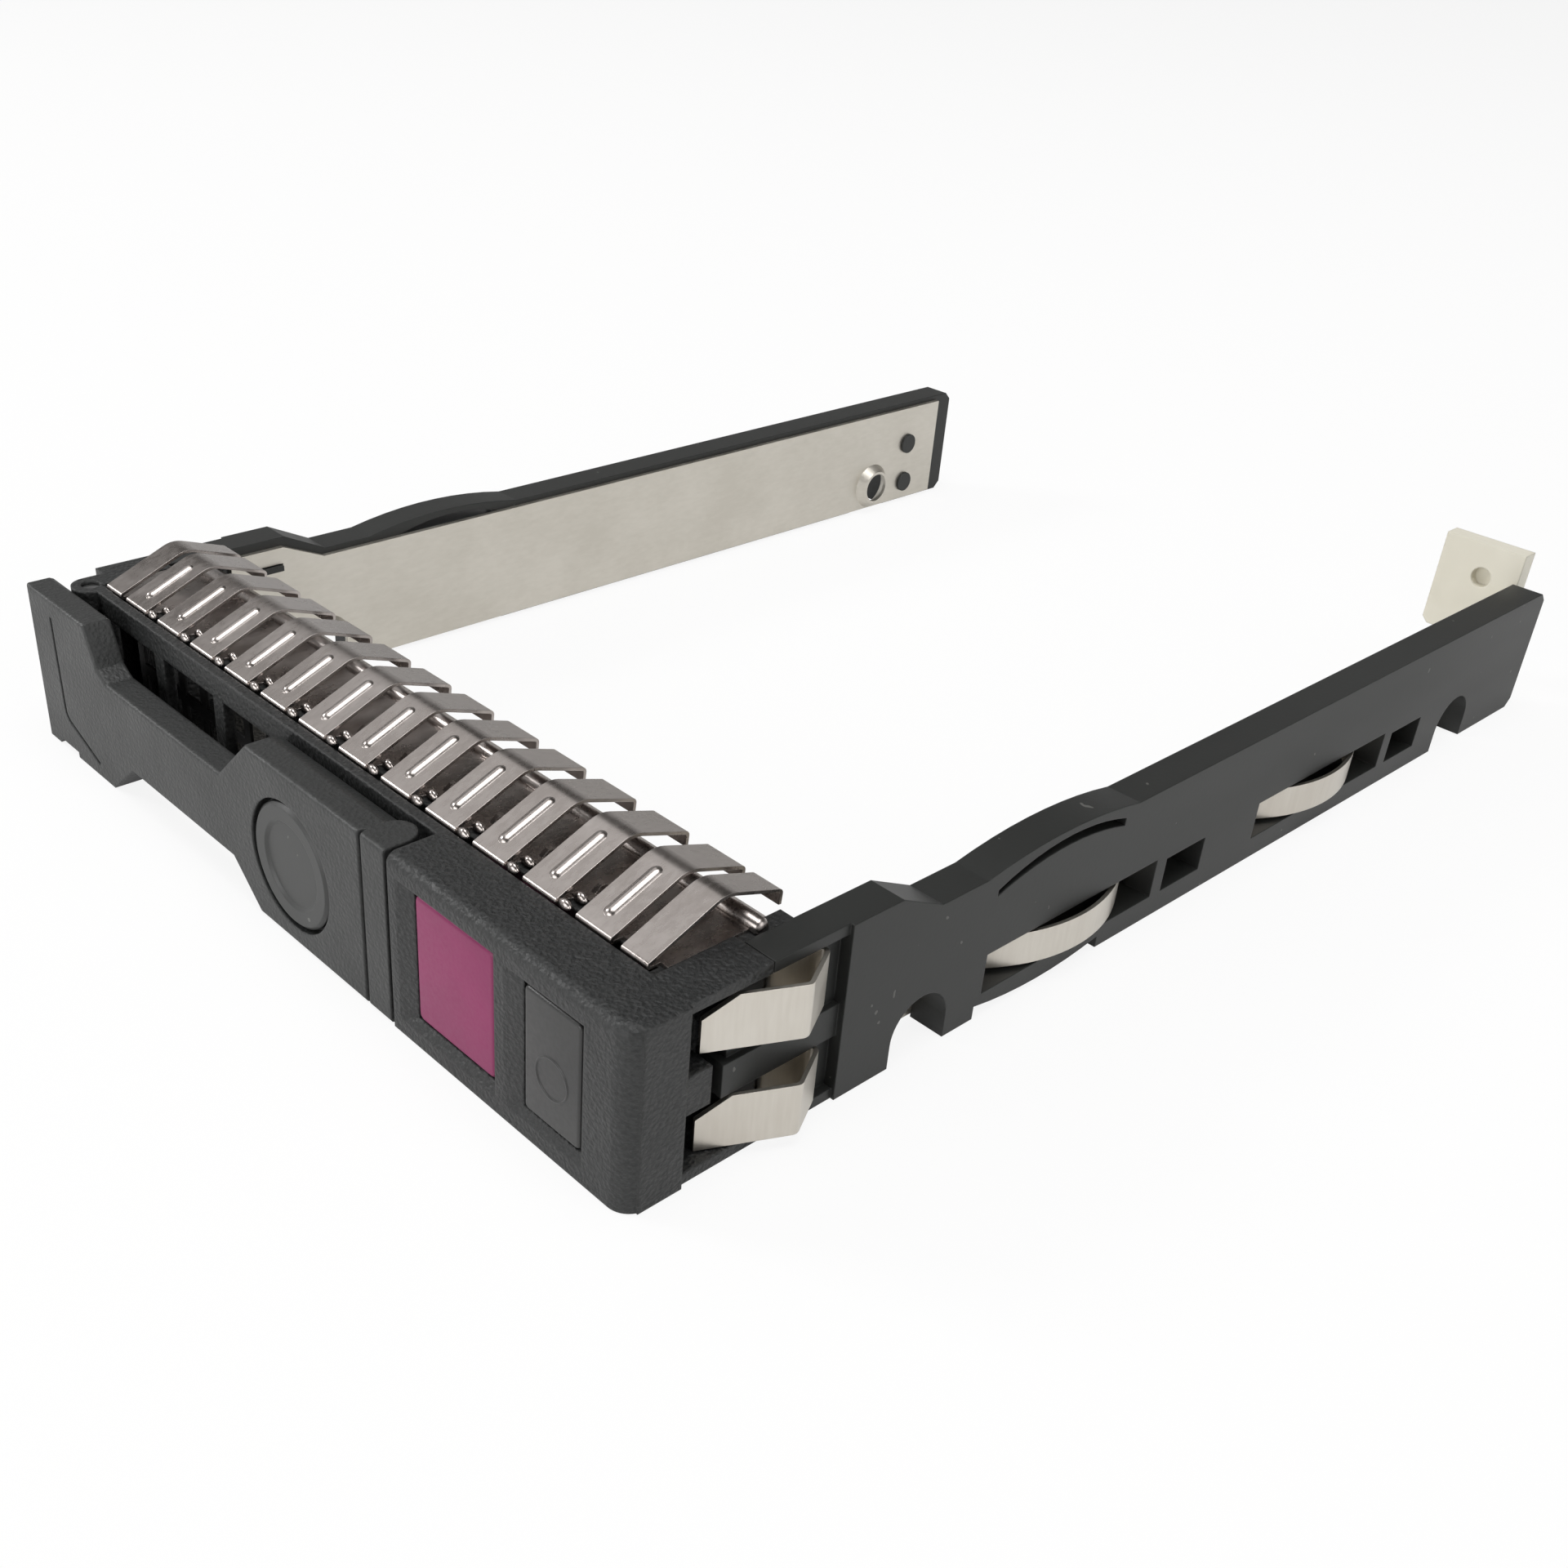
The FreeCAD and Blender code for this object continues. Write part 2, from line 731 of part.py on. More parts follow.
def finger_path():
    """Middle line of a finger: base, front fold, ramp, crest, rear slope and end lip."""
    base_middle = deck_top + shield_sheet / 2
    return [
        Vector(base_front_y + 1.2, base_middle, 0),
        Vector(finger_tip_y, base_middle, 0),
        Vector(crest_y, bezel_height + crest_rise, 0),
        Vector(lip_y, bezel_height + lip_rise, 0),
        Vector(lip_y - 0.1, bezel_height + lip_rise - lip_drop, 0),
    ]


def lengthways(profile, x0, x1):
    """Turn a profile drawn as (y, z) into a solid that runs from x0 to x1."""
    solid = profile.extrude(Vector(0, 0, x1 - x0))
    turn = FreeCAD.Rotation(Vector(0, 1, 0), Vector(0, 0, 1), Vector(1, 0, 0), "XYZ")
    solid.Placement = FreeCAD.Placement(Vector(x0, 0, 0), turn)
    return solid


def finger(x0, x1):
    radii = [front_fold_radius, crest_radius, 0.3]
    return lengthways(folded_strip(finger_path(), shield_sheet, radii), x0, x1)


def finger_bead(x):
    """Long stiffening bead pressed up along the ramp of a finger."""
    foot, crest = [Vector(x, point.x, point.y) for point in finger_path()[1:3]]
    along = (crest - foot).normalize()
    up = Vector(1, 0, 0).cross(along)
    sunk = shield_sheet / 2 + bead_rise - bead_radius
    start = foot + along * bead_foot_inset + up * sunk
    end = crest - along * bead_crest_inset + up * sunk
    capsule = fuse([rod(bead_radius, start, end), Part.makeSphere(bead_radius, start),
                    Part.makeSphere(bead_radius, end)])
    keep = Part.makeBox(4, (crest - foot).Length, 2)
    turn = FreeCAD.Rotation(Vector(1, 0, 0), along, up, "XYZ")
    keep.Placement = FreeCAD.Placement(foot - Vector(2, 0, 0), turn)
    return capsule.common(keep)


def base_sheet(half_length):
    """Flat base over the deck, with a rear part that slopes down into a rolled hem."""
    base_middle = deck_top + shield_sheet / 2
    hem_top = base_middle - hem_drop
    path = [
        Vector(base_rear_y - 1, base_middle, 0),
        Vector(base_rear_y, base_middle, 0),
        Vector(hem_y, hem_top, 0),
        Vector(hem_y, hem_top - hem_depth, 0),
        Vector(hem_y - 0.9, hem_top - hem_depth, 0),
    ]
    hem_half = half_length - hem_inset
    hem = lengthways(folded_strip(path, shield_sheet, [0.4, 0.4, 0.3]), -hem_half, hem_half)
    flat = box(-half_length, half_length, base_front_y, base_rear_y, deck_top, deck_top + shield_sheet)
    return flat.fuse(hem)


def finger_centres():
    return [index * finger_pitch - last_finger_x for index in range(finger_count)]


def shield_strip():
    centres = finger_centres()
    half_finger = finger_width / 2
    base_top = deck_top + shield_sheet
    parts = [base_sheet(strip_half_width)]
    parts.append(finger(end_finger_inner, end_finger_outer))
    parts.append(finger(-end_finger_outer, -end_finger_inner))
    for x in centres:
        parts.append(finger(x - half_finger, x + half_finger))
        parts.append(finger_bead(x))
    gap = finger_pitch - finger_width
    scallops = []
    for x in centres[:-1]:
        middle = x + finger_pitch / 2
        parts.append(lance(middle - 0.3 - lance_width))
        parts.append(lance(middle - 0.3 - lance_width + lance_pitch))
        scallops.append(rod(gap / 2 - 0.1, Vector(middle, base_front_y, deck_top - 1),
                            Vector(middle, base_front_y, base_top + 1)))
    return cut(fuse(parts), scallops)


def lance(x):
    """Small barb raised from the base between two fingers, which bites on the bezel's deck."""
    base_top = deck_top + shield_sheet
    front = base_front_y + lance_from_front
    rear = front + lance_length
    points = [
        (front, base_top - 0.1),
        (rear, base_top - 0.1),
        (rear - 0.2, base_top + lance_height),
        (rear - 0.6, base_top + lance_height),
    ]
    return side_prism(points, x, x + lance_width)


def shield_screen():
    """Perforated sheet behind the air openings."""
    left = pivot_x + ear_radius + 1.1
    right = latch_left - 0.6
    y0 = block_depth + slot_width + 0.6
    screen = box(left, right, y0, y0 + shield_sheet, bezel_wall, deck_bottom)
    pitch = (right - left - screen_rib) / screen_hole_count
    tools = []
    hole_height = (deck_bottom - screen_top_rib - bezel_wall - 2 * screen_rib) / 2
    for index in range(screen_hole_count):
        x0 = left + screen_rib + index * pitch
        for row in (0, 1):
            z0 = bezel_wall + screen_rib + row * (hole_height + screen_rib)
            tools.append(box(x0, x0 + pitch - screen_rib, y0 - 1, y0 + 1, z0, z0 + hole_height))
    return cut(screen, tools)


# Rails -------------------------------------------------------------------------------------

def rail_body():
    """Side outline of the right rail behind its front end."""
    flex_end = flex_start_y + flex_length + 1.5
    flex_middle = (flex_start_y + flex_end) / 2
    low = shoulder_end_y + shoulder_slope
    points = [
        (shoulder_y, 0),
        (rail_end - rail_chamfer, 0),
        (rail_end, rail_chamfer),
        (rail_end, rail_height - rail_chamfer),
        (rail_end - rail_chamfer, rail_height),
        (flex_end, rail_height),
        ((flex_end, rail_height), (flex_middle, rail_height + flex_rise), (flex_start_y - 0.6, rail_height)),
        (low, rail_height),
        (shoulder_end_y, bezel_height),
        (shoulder_y, bezel_height),
    ]
    return side_prism(points, rail_inner, half_width)


def flex_slot():
    """Curved slot that leaves a thin springy bow along the rail's upper edge."""
    y0 = flex_start_y + 0.8
    y1 = flex_start_y + flex_length
    middle = (y0 + y1) / 2
    upper = rail_height + flex_rise - 0.6
    lower = upper - 0.75
    points = [
        (y0, upper - 1.55),
        ((y0, upper - 1.55), (middle, upper), (y1, upper - 1.05)),
        (y1, lower - 0.95),
        ((y1, lower - 0.95), (middle, lower), (y0, lower - 1.3)),
    ]
    return side_prism(points, rail_inner - 1, half_width + 1)


def lower_relief():
    """Shallow relief that leaves a matching bow along the lower edge."""
    y0 = flex_start_y + 0.2
    y1 = flex_start_y + flex_length - 0.6
    points = [
        (y0, -1),
        (y0, 1.1),
        ((y0, 1.1), ((y0 + y1) / 2, 0.35), (y1, 1.0)),
        (y1, -1),
    ]
    return side_prism(points, rail_inner - 1, half_width + 1)


def screw_notch(y):
    x0 = rail_inner - 1
    x1 = half_width + 1
    arch = rod(notch_radius, Vector(x0, y, notch_height), Vector(x1, y, notch_height))
    return arch.fuse(box(x0, x1, y - notch_radius, y + notch_radius, -1, notch_height))


def window_starts():
    return [window_start_y, window_start_y + window_pitch]


def rail_front():
    """Narrow front end between the bezel's lips: web, middle rib and flanges."""
    top = bezel_height - flange_thickness
    rear = shoulder_y + 0.5
    seam = seam_y + plug_gap
    return [
        box(rail_inner, web_outer, rail_plug_y, rear, flange_thickness + plug_gap, top - plug_gap),
        box(rail_inner, web_outer, seam, rear, 0, bezel_height),
        box(rail_inner, rib_outer, rail_rib_front_y, rear, lug_bottom, rail_rib_top),
        box(rail_inner, flange_outer, seam, rear, top, bezel_height),
        box(rail_inner, flange_outer, seam, rear, 0, flange_thickness),
        snap_lug(0),
    ]


def plate_hook(margin):
    """Small bar through the steel liner, or with a margin the slot that it sits in."""
    return box(half_bay - hook_reach - margin, rail_inner + 0.1, hook_y - margin,
               hook_y + hook_length + margin, hook_bottom - margin, hook_bottom + hook_thickness + margin)


def stake_places():
    return [Vector(rail_inner, rail_end - stake_from_end, z) for z in stake_heights]


def right_rail():
    body = fuse([rail_body()] + rail_front() + [plate_hook(0)])
    tools = [flex_slot(), lower_relief(), screw_notch(front_hole_y), screw_notch(rear_hole_y)]
    for start in window_starts():
        end = start + window_length
        tools.append(box(rail_inner - 1, half_width + 1, start, end, window_sill, window_head))
        hole = end + hole_gap
        tools.append(box(rail_inner - 1, half_width + 1, hole, hole + hole_length, window_sill,
                         window_head - 0.4))
        tools.append(box(rail_inner - 0.1, rail_inner + 0.45, start - 1.6, end + 1.2,
                         window_sill, window_head))
    for z0 in (upper_contact_z, lower_contact_z):
        tools.append(box(web_outer - 1.5, web_outer + 1, contact_root_y - 0.3, contact_root_y + 0.3,
                         z0 - 0.1, z0 + contact_width + 0.1))
    body = cut(body, tools)
    stakes = []
    for place in stake_places():
        inner = Vector(half_bay - stake_head_height, place.y, place.z)
        stakes.append(rod(stake_radius, inner, place + Vector(0.1, 0, 0)))
        stakes.append(rod(stake_head_radius, inner, Vector(half_bay, place.y, place.z)))
    return fuse([body] + stakes)


# Steel liners ------------------------------------------------------------------------------

def screw_dimple(y):
    """Cone pressed inwards round a screw hole, so that the head sits below the surface."""
    inner = drive_width / 2 + fit_gap
    profile = [
        Vector(inner, screw_hole_radius, 0),
        Vector(inner, dimple_foot_radius, 0),
        Vector(half_bay, dimple_radius, 0),
        Vector(rail_inner, dimple_radius, 0),
        Vector(rail_inner, dimple_mouth_radius, 0),
        Vector(inner + dimple_throat, screw_hole_radius, 0),
    ]
    face = Part.Face(Part.makePolygon(profile + profile[:1]))
    ring = face.revolve(Vector(0, 0, 0), Vector(1, 0, 0), 360)
    ring.translate(Vector(0, y, drive_hole_height))
    return ring


def right_side_plate():
    start = bezel_depth + plate_front_gap
    end = rail_end - plate_setback
    top = rail_height - plate_drop
    front_top = top + shoulder_rise - 0.25
    points = [
        (start, plate_bottom),
        (end, plate_bottom),
        (end, top),
        (shoulder_end_y + shoulder_slope - 0.4, top),
        (shoulder_end_y - 0.4, front_top),
        (start, front_top),
    ]
    plate = side_prism(points, half_bay, rail_inner)
    through = Vector(plate_thickness + 2, 0, 0)
    tools = [plate_hook(hook_margin)]
    for y in (front_hole_y, rear_hole_y):
        inner = Vector(half_bay - 1, y, drive_hole_height)
        tools.append(rod(dimple_radius, inner, inner + through))
    for place in stake_places():
        inner = place - Vector(plate_thickness + 1, 0, 0)
        tools.append(rod(stake_radius, inner, inner + through))
    return fuse([cut(plate, tools), screw_dimple(front_hole_y), screw_dimple(rear_hole_y)])


# Springs on the sides ----------------------------------------------------------------------

def contact_spring(z0):
    """Folded leaf: root hooked in the rail, sharp rear fold, crest, bevelled front tip."""
    seat = web_outer + spring_sheet / 2
    path = [
        (web_outer - 1.2, contact_root_y),
        (seat, contact_root_y),
        (seat, contact_fold_y),
        (half_width + contact_crest_out, contact_crest_y),
        (half_width - 1.5, contact_tip_y),
    ]
    leaf = upright_strip(path, spring_sheet, [0.3, 0.35, 0.6], z0, z0 + contact_width)
    top = z0 + contact_width
    bevel = side_prism([(contact_tip_y - 1, top - 2.3), (contact_tip_y + 2.2, top + 0.1),
                        (contact_tip_y - 1, top + 0.1)], rail_inner, half_width + 3)
    return leaf.cut(bevel)


def bow_spring(start):
    """Leaf whose feet lie behind the ends of a rail window and whose bow stands out of it."""
    inner = rail_inner + 0.05
    end = start + window_length
    foot = 1.2
    rise = half_width + 0.5 - inner
    middle = (start + end) / 2
    outer = inner + spring_sheet
    points = [
        (inner, start + foot),
        ((inner, start + foot), (inner + rise, middle), (inner, end - foot)),
        (outer, end - foot + 0.3),
        ((outer, end - foot + 0.3), (outer + rise, middle), (outer, start + foot - 0.3)),
    ]
    z0 = window_sill + 0.3
    z1 = window_head - 0.3
    feet = [
        box(inner, outer, start - 1.4, start + foot, z0, z1),
        box(inner, outer, end - foot, end + 1.0, z0, z1),
    ]
    return fuse([plan_prism(points, z0, z1)] + feet)


def save(name, shape):
    """Move a finished piece into the part's frame and write it."""
    placed = shape.copy()
    placed.translate(Vector(0, -overall_length / 2, 0))
    placed.exportStep("parts/" + name + ".step")
    solids = len(placed.Solids)
    print(name, "solids", solids, "volume", round(placed.Volume, 2), "valid", placed.isValid())


def main():
    os.makedirs("parts", exist_ok=True)
    save("bezel_frame", bezel_frame())
    save("status_window", status_window())
    save("light_pipe", light_pipe())
    save("release_button", release_button())
    save("button_spring", button_spring())
    save("ejector_lever", ejector_lever())
    save("lever_medallion", lever_medallion())
    save("lever_pivot_pin", pivot_pin())
    save("lever_spring", lever_spring())
    save("shield_strip", shield_strip())
    save("shield_screen", shield_screen())
    rail = right_rail()
    save("right_rail", rail)
    save("left_rail", mirrored(rail))
    plate = right_side_plate()
    save("right_side_plate", plate)
    save("left_side_plate", mirrored(plate))
    for level, z0 in (("upper", upper_contact_z), ("lower", lower_contact_z)):
        leaf = contact_spring(z0)
        save("right_" + level + "_contact", leaf)
        save("left_" + level + "_contact", mirrored(leaf))
    for place, start in zip(("front", "rear"), window_starts()):
        bow = bow_spring(start)
        save("right_" + place + "_bow", bow)
        save("left_" + place + "_bow", mirrored(bow))


main()
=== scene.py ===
import math

import bmesh
import bpy
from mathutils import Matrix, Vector


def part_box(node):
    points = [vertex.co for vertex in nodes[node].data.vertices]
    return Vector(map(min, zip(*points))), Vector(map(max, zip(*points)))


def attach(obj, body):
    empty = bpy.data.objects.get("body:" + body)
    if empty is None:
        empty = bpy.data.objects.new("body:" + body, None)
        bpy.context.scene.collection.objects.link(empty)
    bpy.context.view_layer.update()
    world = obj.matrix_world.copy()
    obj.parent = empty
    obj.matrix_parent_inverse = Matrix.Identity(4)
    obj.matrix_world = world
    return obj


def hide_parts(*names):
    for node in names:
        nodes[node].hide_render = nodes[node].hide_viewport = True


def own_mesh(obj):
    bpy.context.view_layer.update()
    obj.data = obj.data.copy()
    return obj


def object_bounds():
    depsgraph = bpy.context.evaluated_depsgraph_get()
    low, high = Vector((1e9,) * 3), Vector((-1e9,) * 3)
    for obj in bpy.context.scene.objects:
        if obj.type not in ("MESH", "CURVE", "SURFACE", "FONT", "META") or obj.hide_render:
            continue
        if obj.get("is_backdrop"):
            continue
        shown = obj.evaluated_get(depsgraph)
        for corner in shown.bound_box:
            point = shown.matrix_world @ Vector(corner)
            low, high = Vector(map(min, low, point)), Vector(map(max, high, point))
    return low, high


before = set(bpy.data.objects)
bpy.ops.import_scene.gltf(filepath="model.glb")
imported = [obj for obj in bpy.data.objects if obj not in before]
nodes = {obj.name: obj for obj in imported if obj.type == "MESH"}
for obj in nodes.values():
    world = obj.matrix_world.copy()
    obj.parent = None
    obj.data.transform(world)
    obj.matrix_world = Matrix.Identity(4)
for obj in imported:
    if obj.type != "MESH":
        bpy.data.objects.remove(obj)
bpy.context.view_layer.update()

scene = bpy.context.scene
print("frame loaded:", len(nodes), "nodes")


class Signal:
    # one output socket; writing maths with it adds the Math nodes
    def __init__(self, finish, socket):
        self.finish = finish
        self.socket = socket

    def calc(self, operation, first, second):
        made = self.finish.add("ShaderNodeMath", {"operation": operation}, {0: first, 1: second})
        return Signal(self.finish, made.outputs[0])

    def __add__(self, other):
        return self.calc("ADD", self, other)

    def __radd__(self, other):
        return self.calc("ADD", other, self)

    def __sub__(self, other):
        return self.calc("SUBTRACT", self, other)

    def __rsub__(self, other):
        return self.calc("SUBTRACT", other, self)

    def __mul__(self, other):
        return self.calc("MULTIPLY", self, other)

    def __rmul__(self, other):
        return self.calc("MULTIPLY", other, self)

    def above(self, limit):
        return self.calc("GREATER_THAN", self, limit)

    def highest(self, other):
        return self.calc("MAXIMUM", self, other)


class Finish:
    # a material and the one way nodes are added to it
    bevelSamples = 6

    def __init__(self, name, tree=None):
        if tree is None:
            self.material = bpy.data.materials.new(name)
            self.material.use_nodes = True
            tree = self.material.node_tree
            tree.nodes.clear()
        self.tree = tree
        self.place = None

    def add(self, kind, settings=None, sockets=None):
        made = self.tree.nodes.new(kind)
        for key, value in (settings or {}).items():
            setattr(made, key, value)
        for key, value in (sockets or {}).items():
            socket = made.inputs[key]
            if isinstance(value, Signal):
                self.tree.links.new(value.socket, socket)
            else:
                socket.default_value = value
        return made

    def out(self, kind, output, settings=None, sockets=None):
        return Signal(self, self.add(kind, settings, sockets).outputs[output])

    def where(self):
        if self.place is None:
            self.place = self.out("ShaderNodeTexCoord", "Object")
        return self.place

    def stretched(self, scale):
        return self.out("ShaderNodeVectorMath", 0, {"operation": "MULTIPLY"}, {0: self.where(), 1: scale})

    def noise(self, grain, place=None):
        scale, detail, roughness = grain
        return self.out("ShaderNodeTexNoise", 0, {"noise_dimensions": "3D"},
                        {"Vector": place or self.where(), "Scale": scale, "Detail": detail,
                         "Roughness": roughness})

    def spots(self, scale):
        return self.out("ShaderNodeTexVoronoi", "Distance", {"feature": "F1"},
                        {"Vector": self.where(), "Scale": scale})

    def between(self, amount, first, second):
        return self.out("ShaderNodeMix", 2, {"data_type": "RGBA"}, {0: amount, 6: first, 7: second})

    def remap(self, value, limits, outcome=(0.0, 1.0)):
        return self.out("ShaderNodeMapRange", 0, {"clamp": True},
                        {0: value, 1: limits[0], 2: limits[1], 3: outcome[0], 4: outcome[1]})

    def softEdge(self, radius):
        return self.out("ShaderNodeBevel", 0, {"samples": self.bevelSamples}, {"Radius": radius})

    def edgeMask(self, radius, gain):
        # 0 on flat stretches, towards 1 on edges and corners
        flat = self.out("ShaderNodeNewGeometry", "Normal")
        dot = self.out("ShaderNodeVectorMath", 1, {"operation": "DOT_PRODUCT"},
                       {0: self.softEdge(radius), 1: flat})
        return self.remap(1 - dot, (0.0, 1.0 / gain))

    def bumped(self, height, strength, distance, edge):
        return self.out("ShaderNodeBump", 0, None,
                        {"Height": height, "Strength": strength, "Distance": distance, "Normal": edge})

    def close(self, shader):
        self.add("ShaderNodeOutputMaterial", None, {"Surface": shader})
        return self.material

    def surface(self, sockets):
        return self.close(self.out("ShaderNodeBsdfPrincipled", 0, None, sockets))


def rgb(red, green, blue):
    return (red, green, blue, 1.0)


def middle(low, high):
    return [(low[axis] + high[axis]) / 2 for axis in range(3)]


def circleAngles(count):
    return [math.tau * step / count for step in range(count)]


def addRow(made, points):
    return [made.verts.new(point) for point in points]


def joinRows(made, rows, closed=True):
    # quads between each row of points and the next; closed rows run all the way round
    for first, second in zip(rows, rows[1:]):
        count = len(first)
        for step in range(count if closed else count - 1):
            after = (step + 1) % count
            made.faces.new((first[step], second[step], second[after], first[after]))


def smoothMesh(name, made):
    mesh = bpy.data.meshes.new(name)
    made.normal_update()
    for face in made.faces:
        face.smooth = True
    made.to_mesh(mesh)
    made.free()
    return mesh


def addObject(name, data):
    added = bpy.data.objects.new(name, data)
    scene.collection.objects.link(added)
    return added


view = {
    "place": (0.096071, -0.110497, 0.073657),
    "turn": -45.968,      # degrees from +Y, to the left
    "drop": 32.605,       # degrees below level
    "roll": 3.515,
    "lens": 39.144,
    "shift": (0.05890, 0.06061),
    "sensor": 36.0,
    "nearest": 0.01,
}


def addCamera(name):
    turn, drop, roll = (math.radians(view[key]) for key in ("turn", "drop", "roll"))
    ahead = Vector((math.sin(turn) * math.cos(drop), math.cos(turn) * math.cos(drop), -math.sin(drop)))
    right = ahead.cross(Vector((0, 0, 1))).normalized()
    up = right.cross(ahead)
    tiltedRight = right * math.cos(roll) + up * math.sin(roll)
    tiltedUp = up * math.cos(roll) - right * math.sin(roll)
    data = bpy.data.cameras.new(name)
    data.sensor_width = view["sensor"]
    data.lens = view["lens"]
    data.shift_x, data.shift_y = view["shift"]
    data.clip_start = view["nearest"]
    camera = addObject(name, data)
    for row in range(3):
        camera.matrix_world[row][0] = tiltedRight[row]
        camera.matrix_world[row][1] = tiltedUp[row]
        camera.matrix_world[row][2] = -ahead[row]
        camera.matrix_world[row][3] = view["place"][row]
    scene.camera = camera


addCamera("camera")
print("camera set")


studio = {
    # radius and height of each ring: level in the middle, curling up at the rim
    "floorProfile": [(0.3, 0.0), (1.26, 0.0), (1.476, 0.02), (1.656, 0.1), (1.764, 0.22), (1.8, 0.62)],
    "floorSteps": 96,
    "floorDrop": 0.0001,
    "floorColour": rgb(0.86, 0.86, 0.855),
    "seenWhite": 0.88,         # share of plain white where the floor is looked at
    "mirroredWhite": 0.35,     # and where glossy surfaces mirror it
    "worldColour": rgb(0.095, 0.092, 0.088),
    "lamps": {
        "overheadSoftbox": {"place": (0.10, -0.10, 0.85), "size": (0.6, 0.5), "power": 5.0},
        "steelSoftbox": {"place": (-0.55, 0.04, 0.71), "size": (0.6, 0.5), "power": 0.75},
        "edgeLamp": {"place": (-0.62, -0.45, 0.42), "size": (0.22, 0.18), "power": 2.6},
        "rightFill": {"place": (0.7, 0.1, 0.35), "size": (0.5, 0.5), "power": 1.35},
        "frontFill": {"place": (0.05, -0.85, 0.22), "size": (0.7, 0.35), "power": 2.6},
    },
}


def addFloor():
    made = bmesh.new()
    rows = []
    for reach, height in studio["floorProfile"]:
        rows.append(addRow(made, [(reach * math.cos(angle), reach * math.sin(angle), height)
                                  for angle in circleAngles(studio["floorSteps"])]))
    made.faces.new(rows[0])
    joinRows(made, rows)
    mesh = smoothMesh("floor", made)
    floor = addObject("floor", mesh)
    floor.location.z = -studio["floorDrop"]
    finish = Finish("paleFloor")
    looked, mirrored, through = [finish.out("ShaderNodeLightPath", name) for name in
                                 ("Is Camera Ray", "Is Glossy Ray", "Is Transmission Ray")]
    seenShare = looked.highest(through) * studio["seenWhite"]
    share = seenShare.highest(mirrored * studio["mirroredWhite"])
    matt = finish.out("ShaderNodeBsdfDiffuse", 0, None, {"Color": studio["floorColour"]})
    white = finish.out("ShaderNodeEmission", 0, None, {"Color": rgb(1, 1, 1), "Strength": 1.0})
    both = finish.out("ShaderNodeMixShader", 0, None, {0: share, 1: matt, 2: white})
    mesh.materials.append(finish.close(both))
    floor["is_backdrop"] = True


def addLamps():
    for name, lamp in studio["lamps"].items():
        data = bpy.data.lights.new(name, "AREA")
        data.shape = "RECTANGLE"
        data.size, data.size_y = lamp["size"]
        data.energy = lamp["power"]
        light = addObject(name, data)
        light.location = lamp["place"]
        light.rotation_euler = (-Vector(lamp["place"])).to_track_quat("-Z", "Y").to_euler()


def setWorld():
    world = scene.world or bpy.data.worlds.new("world")
    scene.world = world
    world.use_nodes = True
    world.node_tree.nodes.clear()
    sky = Finish("world", world.node_tree)
    glow = sky.out("ShaderNodeBackground", 0, None, {"Color": studio["worldColour"], "Strength": 1.0})
    sky.add("ShaderNodeOutputWorld", None, {"Surface": glow})


addFloor()
addLamps()
setWorld()
scene.view_settings.view_transform = "Standard"
print("studio set")


# a noise is (scale per metre, detail, roughness); a narrower spread of its values gives more contrast
spread = {"wide": (0.3, 0.7), "middle": (0.35, 0.65), "narrow": (0.36, 0.64)}

blackGrain = {
    # the lighter edge tone is partly wear colour and partly a painted highlight
    "dark": rgb(0.010, 0.011, 0.011), "light": rgb(0.021, 0.022, 0.022), "sheenTone": rgb(0.036, 0.037, 0.036),
    "grains": (3400.0, 2.0, 0.5), "grainShare": 0.7,
    "pits": 2720.0, "pitShare": 0.5, "pitDepth": (0.0, 0.3), "pitShine": (0.1, 0.0),
    "clouds": (150.0, 3.0, 0.55), "rough": (0.42, 0.52),
    "edge": 0.00030, "edgeGain": 6.0, "sheenWearRange": (0.2, 0.8),
    "strength": 0.7, "specular": 0.48,
}


def grainedPlastic(name, grainDepth, sheenLift=0.0):
    # spark eroded mould texture: grains about 0.3 mm across
    finish = Finish(name)
    grains = finish.noise(blackGrain["grains"])
    pits = finish.spots(blackGrain["pits"])
    cloud = finish.noise(blackGrain["clouds"])
    height = grains * blackGrain["grainShare"] + pits * blackGrain["pitShare"]
    tone = finish.between(finish.remap(grains, spread["middle"]), blackGrain["dark"], blackGrain["light"])
    patches = finish.remap(cloud, spread["middle"], blackGrain["sheenWearRange"])
    # edges are lightened toward the lighter tone: partly real wear, partly a painted highlight along edges
    # and fillets
    edgeSheenAndWear = finish.edgeMask(blackGrain["edge"], blackGrain["edgeGain"]) * patches
    # the lift raises that lightening everywhere: on the lever it is painted light, a lighter copy of the same
    # plastic
    colour = finish.between(edgeSheenAndWear.highest(sheenLift), tone, blackGrain["sheenTone"])
    shine = finish.remap(pits, blackGrain["pitDepth"], blackGrain["pitShine"])
    roughness = finish.remap(cloud, spread["wide"], blackGrain["rough"]) - shine
    normal = finish.bumped(height, blackGrain["strength"], grainDepth, finish.softEdge(blackGrain["edge"]))
    return finish.surface({"Base Color": colour, "Roughness": roughness, "Normal": normal,
                           "Specular IOR Level": blackGrain["specular"]})


smoothBlack = {
    "dark": rgb(0.015, 0.016, 0.015), "light": rgb(0.023, 0.024, 0.023), "paleFlecks": rgb(0.14, 0.14, 0.13),
    "fine": (3200.0, 2.0, 0.5), "strength": 0.25, "depth": 0.00002, "edge": 0.00014,
    "flow": (55.0, 3.0, 0.5), "flowStretch": (1.0, 0.35, 1.6), "rough": (0.40, 0.50),
    "specks": (900.0, 1.0, 0.4), "speckLimit": 0.79, "speckShare": 0.6,
}


